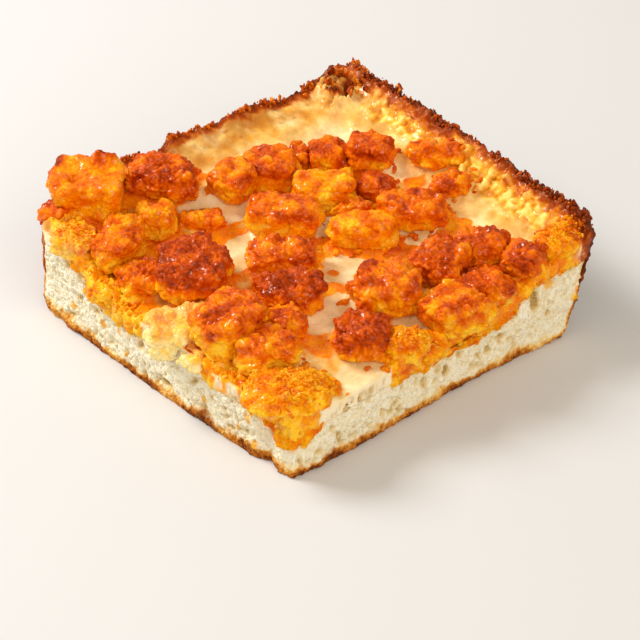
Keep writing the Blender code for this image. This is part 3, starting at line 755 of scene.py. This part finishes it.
# Its relief
warped = places + 1.5 * drift(places, 2.4, (30, 31, 32))
blisters = ramp(0.8 - beads(warped, BLISTER, 6), 0.0, 0.65)
bumpy = 0.55 + 0.9 * swell(places, 5.0, 27)
small_blisters = ramp(0.8 - beads(places, SMALL_BLISTER, 7), 0.0, 0.6)
clumps, crumbs = breaded(places, 9)
rise = up * bumps(places, CHEESE_TOP)
rise += bubbly * bumpy * (BLISTER_RISE * (blisters - 0.4) + SMALL_RISE * (small_blisters - 0.4))
rise += outside * (1.0 - up) * 0.6 * (ramp(0.7 - beads(places, 2.0, 8), 0.0, 0.5) - 0.5)
rise += SAUCE_RISE * sauce * up * (1.0 - mat)
rise += np.maximum(up, cut_side) * mat * (MAT_RISE + 1.1 * (clumps - 0.4) + 0.7 * (crumbs - 0.4))
pores = np.zeros(len(places))
at_cut = np.nonzero(cut_side > 0.05)[0]
pores[at_cut] = crumb_pores(places[at_cut])
to_bread = np.full(len(places), 9.0)
low = np.nonzero((up < 0.05) & (near_wall > 1.0))[0]
to_bread[low] = gap_to(places[low], surface_of([bread]))
foot = (1.0 - ramp(to_bread, 0.6, 2.4)) * ramp(near_wall, 1.5, 3.0)
crumbly_part = cut_side * (1.0 - mat) * ramp(3.0 - to_bread, 0.0, 1.6)
rise -= crumbly_part * (0.7 * pores - bumps(places, TORN_FACE) - 0.2)
from_mound = np.hypot(places[:, 0] - CORNER_MOUND[0], places[:, 1] - CORNER_MOUND[1])
mound = (1.0 - ramp(from_mound, 2.0, MOUND_WIDTH)) * up
craggy = ramp(0.85 - beads(places + 0.8 * wobble[:, None], 2.6, 25), 0.0, 0.6)
places += facing * rise[:, None]
fillet = FILLET * (1.0 - ramp(to_chicken, 0.2, 2.6)) * up
teeth = 1.5 * swell(places, 2.6, 11) + 1.2 * np.abs(swell(places, 1.3, 12)) + 0.5 * swell(places, 0.9, 13)
places[:, 2] += fillet + crest * teeth + mound * (0.2 + CRAG_RISE * craggy + 1.2 * small_blisters)
places[:, 2] -= foot * FOOT_DROP
move_skin(cheese, places)
mat *= np.maximum(up, cut_side)
red = 0.28 + 0.3 * swell(places, 6.0, 15) + 0.15 * (0.5 - clumps)
red -= 0.2 * (1.0 - ramp(places[:, 1], LEFT_CUT + 4.0, LEFT_CUT + 9.0))
# Sauce redness on the cheese, with painted shade: it turns redder and darker right at the foot of each
# chicken piece
sauce_red_and_foot_shade = 0.36 + 0.3 * (1.0 - ramp(to_chicken + wobble, 0.0, 1.6))
tell(cheese, "sauce", sauce)
tell(cheese, "mat", mat)
# Away from the crumb mats, the redness carries the painted shade at the chicken's foot
tell(cheese, "red", np.where(mat > 0.3, np.clip(red, 0.02, 0.6), sauce_red_and_foot_shade))
tell(cheese, "bubbly", bubbly)
tell(cheese, "blister", blisters)
tell(cheese, "crumbly", np.clip(crumbly_part, 0.0, 1.0))
# The pores' depth is kept for the finish, which paints shade into them
tell(cheese, "pore", pores)
tell(cheese, "cut", cut_side)
tell(cheese, "bare", bare * inner * ramp(near_wall, 10.0, 24.0))
toasted = (1.0 - ramp(near_wall, 4.0, 15.0)) * (0.55 + bumps(places, TOASTED_PATCHES))
tell(cheese, "toasted", np.clip(toasted, 0.0, 1.0))
lower_down = 1.0 - ramp(places[:, 2], 9.0, 34.0)
golden = np.clip(1.2 + 1.5 * lower_down + bumps(places, WALL_PATCHES), 0.5, 2.6)
baked_side = outside * (1.0 - up) * golden
patchy = mound * (3.6 - 3.4 * ramp(swell(places, 3.2, 26) - 0.3 * craggy, -0.25, 0.2) - crest_gap)
tell(cheese, "near_wall", crest_gap + baked_side + np.minimum(patchy, 0.0))

cheese_finish, tree, shader = new_finish("melted_brick_cheese")
cloud = speckle(tree, 120.0, 4.0)
tan = shades(tree, cloud, (0.36, (212, 160, 76)), (0.5, (238, 194, 106)), (0.64, (254, 232, 166)))
oily = shades(tree, speckle(tree, 110.0, 3.0), (0.46, (255, 255, 255)), (0.6, (255, 216, 90)))
tan = over(tree, 0.7, tan, oily, "MULTIPLY")
milky = shades(tree, cloud, (0.36, (230, 200, 136)), (0.64, (254, 240, 200)))
tan = over(tree, work(tree, "MULTIPLY", mark(tree, "bare"), 0.75), tan, milky)
blister = shades(
    tree, mark(tree, "blister"), (0.05, (204, 122, 8)), (0.45, (242, 180, 50)), (1.0, (254, 226, 128)))
tan = over(tree, work(tree, "MULTIPLY", mark(tree, "toasted"), 0.8), tan, seen((192, 116, 38)))
spots = work(tree, "MULTIPLY", share_of(tree, speckle(tree, 280.0, 2.0), 0.6, 0.7), mark(tree, "toasted"))
tan = over(tree, spots, tan, seen((164, 78, 14)))
tan = over(tree, mark(tree, "bubbly"), tan, blister)
cream = shades(tree, cloud, (0.3, (244, 216, 156)), (0.7, (252, 238, 204)))
tan = over(tree, mark(tree, "cut"), tan, cream)
# Painted shade: the crumbly band is darker the deeper its pores are
crumb = shades(tree, mark(tree, "pore"), (0.1, (246, 232, 200)), (0.9, (208, 180, 126)))
tan = over(tree, mark(tree, "crumbly"), tan, crumb)
uneven = work(tree, "MULTIPLY_ADD", speckle(tree, 420.0, 4.0), 0.7, -0.35)
laid_over = work(tree, "MAXIMUM", mark(tree, "sauce"), mark(tree, "mat"))
covered = work(tree, "MULTIPLY_ADD", uneven, 0.35, laid_over)
sauced = place_effect(tree, saucing, mark(tree, "red"))
tan = over(tree, share_of(tree, covered, 0.15, 0.6), tan, sauced)
wall = work(tree, "MULTIPLY_ADD", mark(tree, "near_wall"), -0.21, 1.05)
wall = work(tree, "ADD", wall, uneven)
fried = shades(
    tree, wall, (0.1, (230, 150, 36)), (0.34, (204, 100, 4)), (0.58, (154, 54, 2)), (0.95, (84, 20, 2)))
colour = over(tree, share_of(tree, wall, 0.12, 0.5), tan, fried)
tree.links.new(colour, shader.inputs["Base Color"])
tree.links.new(place_effect(tree, wetness, 0.22), shader.inputs["Roughness"])
relief(tree, shader, speckle(tree, 900.0, 4.0, 0.6), depth=0.0004, strength=0.45)
oiled(shader, level=0.4, tint=(255, 214, 140))
wet = share_of(tree, wall, 0.75, 0.35)
tree.links.new(place_effect(tree, shining, work(tree, "MULTIPLY", wet, 0.8)), shader.inputs["Coat Weight"])
shader.inputs["Coat Roughness"].default_value = 0.1
glow_through(shader, share=0.18, radius=(0.0020, 0.0013, 0.0005))
cheese.data.materials.append(cheese_finish)
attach(cheese, "root")
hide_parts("cheese")


# Fried teeth of the rim
# Lace of cheese that ran up the hot pan and fried dark: small hard points and blisters on the
# rim's crest, tallest round the pan's corner, all fused to it.
draw = random.Random(5)
TEETH = 1100
TOOTH_CLUSTERS = 0.16  # how closely the small teeth gather in clusters, to the millimetre
TOOTH_LEAST = 0.22     # half-width of the smallest, and how much more the largest has
TOOTH_MORE = 0.55
CRAG_BITS = 5          # bits that each tall crag is heaped up from
CORNER_TEETH = (       # the tall crags round the corner: place, height over the rim, size
    ((-52.0, 55.0), 2.2, 1.7), ((-50.4, 57.2), 3.2, 1.9), ((-48.6, 58.6), 2.6, 1.6),
    ((-46.0, 59.6), 1.6, 1.5), ((-53.6, 51.0), 1.4, 1.5), ((-54.8, 46.0), 1.2, 1.3),
    ((-51.4, 52.6), 1.6, 1.6), ((-42.0, 60.4), 0.6, 1.2), ((-36.4, 62.4), 2.4, 0.7),
    ((-30.8, 63.0), 0.8, 1.5), ((-44.6, 56.6), 0.0, 1.5), ((-49.0, 54.0), 0.8, 1.6),
)


def lumps(name, rows, seed):
    """Many small uneven bits in one piece. A row is a place, three half-widths and a redness."""
    bpy.ops.object.select_all(action="DESELECT")
    bpy.ops.mesh.primitive_ico_sphere_add(subdivisions=2, radius=1.0)
    made = bpy.context.active_object
    made.name = name
    made.data.name = name
    balls = np.array([v.co[:] for v in made.data.vertices])
    faces = np.array([p.vertices[:] for p in made.data.polygons])
    turns = random.Random(seed)
    points = []
    reds = []
    for place, widths, red in rows:
        shift = [turns.uniform(0.0, 99.0) for _ in range(3)]
        uneven = np.array([noise.noise(p) for p in (balls * 1.1 + shift).tolist()])
        ball = balls * (1.0 + 0.9 * uneven)[:, None] * np.array(widths)
        turn = Matrix.Rotation(turns.uniform(0.0, math.tau), 3, "Z")
        lean = Matrix.Rotation(turns.uniform(-0.6, 0.6), 3, "X")
        points.append(ball @ np.array(turn @ lean).T + np.array(place))
        reds.append(np.full(len(balls), red))
    count = len(balls)
    made.data.clear_geometry()
    every_face = np.concatenate([faces + count * n for n in range(len(rows))])
    made.data.from_pydata((np.concatenate(points) * MM).tolist(), [], every_face.tolist())
    made.data.shade_smooth()
    tell(made, "red", np.concatenate(reds))
    return made


crest_points = places[(crest > 0.6) & (places[:, 2] > 24.0)]
rows = []
while len(rows) < TEETH:
    x, y, z = crest_points[draw.randrange(len(crest_points))]
    gathered = noise.noise(Vector((x, y, 3.0)) * TOOTH_CLUSTERS)
    if gathered < draw.uniform(-0.2, 0.4):
        continue
    size = TOOTH_LEAST + TOOTH_MORE * draw.random() ** 2
    place = (x + draw.uniform(-0.5, 0.5), y + draw.uniform(-0.5, 0.5), z + draw.uniform(-0.4, 0.6))
    red = draw.betavariate(3.0, 2.0) + (0.2 if x > -45.0 else -0.15)
    rows.append((place, (size, size * draw.uniform(0.5, 1.0), size * draw.uniform(0.8, 2.0)), red))
cheese_skin = surface_of([cheese])


def top_at(surface, x, y):
    """Height of what lies under the sky at a place, or None beside the slice."""
    hit = surface.ray_cast(Vector((x, y, 200.0)) * MM, Vector((0.0, 0.0, -1.0)))[0]
    return None if hit is None else hit.z / MM


for (x, y), lift, size in CORNER_TEETH:
    z = top_at(cheese_skin, x, y)
    if z is None:
        z = top_at(cheese_skin, x + 1.5, y - 2.5) or 36.0
    for _ in range(CRAG_BITS):
        small = size * draw.uniform(0.25, 0.6)
        spot = (x + draw.uniform(-1.0, 1.0) * size, y + draw.uniform(-1.0, 1.0) * size,
                z + draw.uniform(-0.5, 1.0) * lift)
        rows.append((spot, (small, small * 0.8, small * draw.uniform(0.9, 1.8)), draw.uniform(-0.3, 1.0)))
teeth = lumps("fried_teeth", rows, 6)
teeth_finish, tree, shader = new_finish("fried_lace")
dark = work(tree, "MULTIPLY_ADD", speckle(tree, 900.0, 3.0), 0.9, work(tree, "ADD", mark(tree, "red"), -0.55))
tree.links.new(shades(
    tree, dark, (0.0, (226, 128, 14)), (0.35, (192, 82, 6)), (0.65, (146, 48, 4)), (1.0, (84, 22, 4))),
    shader.inputs["Base Color"])
tree.links.new(place_effect(tree, wetness, 0.2), shader.inputs["Roughness"])
relief(tree, shader, grit(tree, 1600.0), depth=0.0003, strength=0.5)
oiled(shader, level=0.4, tint=(255, 190, 120))
tree.links.new(place_effect(tree, shining, 0.6), shader.inputs["Coat Weight"])
shader.inputs["Coat Roughness"].default_value = 0.14
glow_through(shader, share=0.15, radius=(0.0010, 0.0005, 0.0002))
teeth.data.materials.append(teeth_finish)
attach(teeth, "root")


# Loose crumbs
# Bits of sauced breading and meat that fell off the chicken: thick over the crumbled edges and
# round the foot of each piece, and a few alone on the cheese.
CRUMBS = 1500
SHREDS_FROM = 1180     # the rest are larger shreds by the foot of the chicken
RIM_CLEAR = 4.5        # how far from the pan's walls they stay
SAUCY = 0.36           # chicken redder than this is too wet to hold loose crumbs
all_skin = surface_of([cheese, *chunks])
chunk_skin = surface_of(chunks)
red_skin = surface_of([c for c in chunks if CHICKEN[c.name.replace("chunk_", "")][1] > SAUCY])
rows = []
while len(rows) < CRUMBS:
    larger = len(rows) >= SHREDS_FROM
    start, end, radius, _ = CRUMBLY[draw.randrange(len(CRUMBLY))]
    t = draw.random()
    x = start[0] + (end[0] - start[0]) * t + draw.gauss(0.0, 0.5) * radius
    y = start[1] + (end[1] - start[1]) * t + draw.gauss(0.0, 0.5) * radius
    if larger:
        x = draw.uniform(-58.0, 58.0)
        y = draw.uniform(-57.0, 58.0)
    z = top_at(all_skin, x, y)
    if z is None or nearer_wall(*wall_gap(np.array([[x, y, z]])))[0] < RIM_CLEAR:
        continue
    on_red = top_at(red_skin, x, y)
    if on_red is not None and on_red > z - 0.1:
        continue
    spot = Vector((x, y, z)) * MM
    if larger and not 0.1 * MM < chunk_skin.find_nearest(spot)[3] < draw.uniform(0.5, 2.5) * MM:
        continue
    size = 0.28 + 0.4 * draw.random() ** 2
    if larger:
        size = 0.4 + 1.1 * draw.random() ** 2
    widths = (size * draw.uniform(1.0, 1.6), size * draw.uniform(0.6, 1.0), size * 0.8)
    red = draw.uniform(0.2, 0.7) if larger else draw.uniform(0.12, 0.45)
    rows.append(((x, y, z), widths, red))
crumbs = lumps("loose_crumbs", rows, 7)
crumbs.data.materials.append(chicken_finish)
tell(crumbs, "pale", np.zeros(len(crumbs.data.vertices)))
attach(crumbs, "root")


# Table, light and camera
# A plain pale table top, a wide soft lamp from the left and slightly behind, a large dim one on
# the right, and a long lens that looks down at the front corner.
bpy.ops.object.select_all(action="DESELECT")
bpy.ops.mesh.primitive_plane_add(size=6.0, location=(0.0, 0.0, 0.0))
table_top = bpy.context.active_object
table_top.name = "table_top"
table_finish, tree, shader = new_finish("pale_table")
shader.inputs["Base Color"].default_value = seen((212, 213, 214))
shader.inputs["Roughness"].default_value = 0.7
table_top.data.materials.append(table_finish)

CAMERA_TURN = math.radians(48.8)
CAMERA_TILT = math.radians(35.5)
CAMERA_AIM = Vector((0.01776, -0.01128, 0.012))
CAMERA_AWAY = 1.2
camera_back = Vector((
    math.sin(CAMERA_TURN) * math.cos(CAMERA_TILT),
    -math.cos(CAMERA_TURN) * math.cos(CAMERA_TILT),
    math.sin(CAMERA_TILT)))
camera_data = bpy.data.cameras.new("camera")
camera_data.lens = 229.5
camera_data.sensor_width = 36.0
camera = bpy.data.objects.new("camera", camera_data)
camera.location = CAMERA_AIM + CAMERA_AWAY * camera_back
camera.rotation_euler = camera_back.to_track_quat("Z", "Y").to_euler()
bpy.context.scene.collection.objects.link(camera)
bpy.context.scene.camera = camera


def add_lamp(name, turn, tilt, away, size, power, colour):
    """A square soft lamp that faces the slice from this turn about it and tilt above it."""
    turn = math.radians(turn)
    tilt = math.radians(tilt)
    back = Vector((math.sin(turn) * math.cos(tilt), -math.cos(turn) * math.cos(tilt), math.sin(tilt)))
    data = bpy.data.lights.new(name, "AREA")
    data.size = size
    data.energy = power
    data.color = colour
    lamp = bpy.data.objects.new(name, data)
    lamp.location = back * away
    lamp.rotation_euler = back.to_track_quat("Z", "Y").to_euler()
    bpy.context.scene.collection.objects.link(lamp)


add_lamp("window_side", turn=-62.0, tilt=42.0, away=1.1, size=0.45, power=11.6, colour=(1.0, 0.985, 0.97))
add_lamp("far_side", turn=75.0, tilt=35.0, away=1.4, size=1.2, power=8.8, colour=(1.0, 0.92, 0.80))
world = bpy.data.worlds.new("room")
world.use_nodes = True
world.node_tree.nodes["Background"].inputs["Color"].default_value = (1.0, 0.90, 0.77, 1.0)
world.node_tree.nodes["Background"].inputs["Strength"].default_value = 0.58
bpy.context.scene.world = world
bpy.context.scene.view_settings.view_transform = "Standard"
